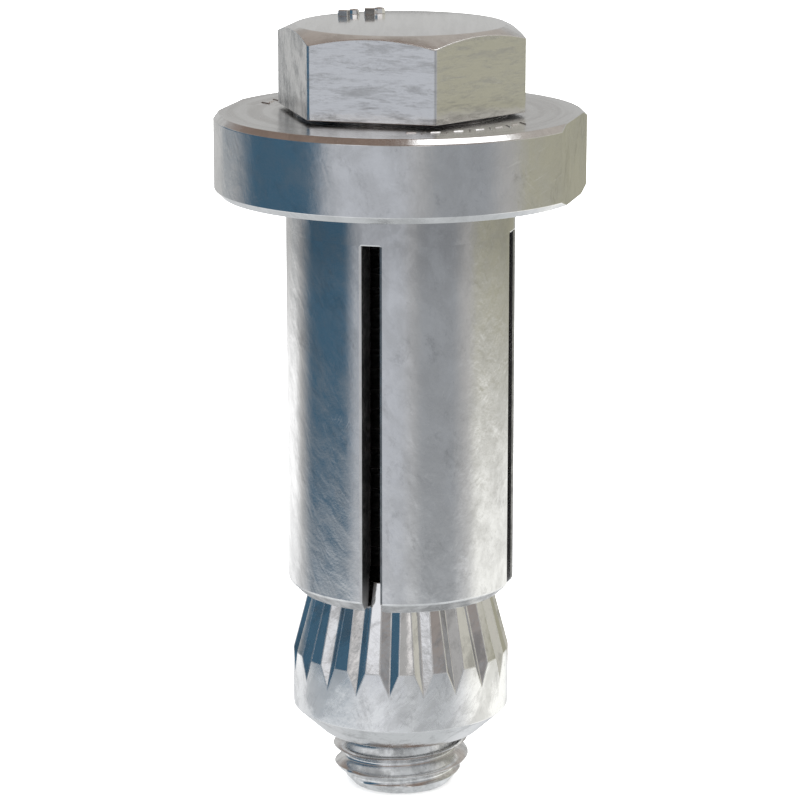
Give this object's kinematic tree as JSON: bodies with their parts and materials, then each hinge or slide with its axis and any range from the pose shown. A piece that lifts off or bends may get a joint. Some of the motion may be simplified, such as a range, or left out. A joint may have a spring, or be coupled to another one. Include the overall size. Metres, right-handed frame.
{
  "type": "expansion bolt",
  "caption": "Steel blind bolt for hollow sections: a hexagon set screw draws a serrated cone into a flanged slotted sleeve, whose legs spread behind the wall.",
  "frame": {"origin": "on the bolt's axis, in the plane where the underside of the collar seats on the wall", "axes": "+Z along the axis from the sleeve towards the screw's head; the sleeve's slots face X and Y, and the collar's two flats face X"},
  "size_m": [0.0304, 0.032, 0.0672],
  "materials": {
    "plated_sleeve": "zinc plated, satin",
    "plated_screw": "zinc plated, satin",
    "plated_cone": "zinc plated, satin"
  },
  "bodies": {
    "collar_sleeve": {"collar_sleeve": "plated_sleeve"},
    "set_screw": {"set_screw": "plated_screw"},
    "expansion_cone": {"expansion_cone": "plated_cone"}
  },
  "joints": [
    {"name": "screw_turn", "type": "hinge", "parent": "collar_sleeve", "child": "set_screw", "pos_m": [0, 0, 0.007], "axis": [0, 0, -1], "range_deg": [0, 2160]},
    {"name": "cone_draw", "type": "slide", "parent": "collar_sleeve", "child": "expansion_cone", "axis": [0, 0, 1], "range_m": [0, 0.0105], "deforming": ["collar_sleeve"]}
  ],
  "couplings": [
    {"joint": "cone_draw", "follows": "screw_turn", "m_per_rad": 0.00027852}
  ]
}
